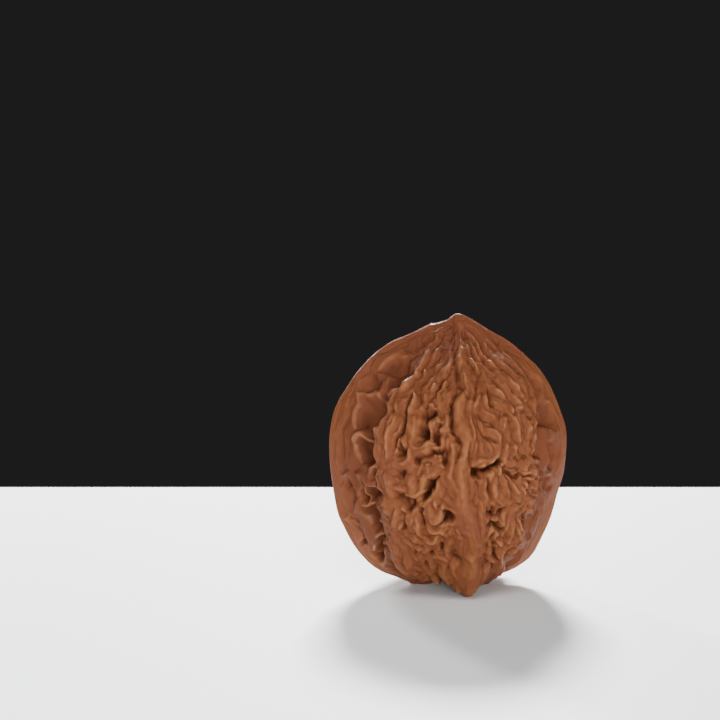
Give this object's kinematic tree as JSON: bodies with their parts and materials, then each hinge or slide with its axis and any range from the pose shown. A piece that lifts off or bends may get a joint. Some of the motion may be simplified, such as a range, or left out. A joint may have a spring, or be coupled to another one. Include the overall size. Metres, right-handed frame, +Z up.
{
  "type": "walnut",
  "caption": "Whole walnut in its shell, with a broad seam rim, a pointed tip and deeply ridged bellies on front and back. It stands on its base.",
  "frame": {"origin": "middle of the part's box, at the level of the surface that the walnut stands on", "axes": "+Z up from the base to the tip; +X along the seam's plane, towards the picture's right; +Y square to the seam's plane, away from the picture's viewer"},
  "size_m": [0.0398, 0.0382, 0.0456],
  "materials": {
    "shell": "red-brown shell, polished by handling, with a low wax-like gloss"
  },
  "bodies": {
    "root": {"walnut": "shell"}
  },
  "joints": []
}
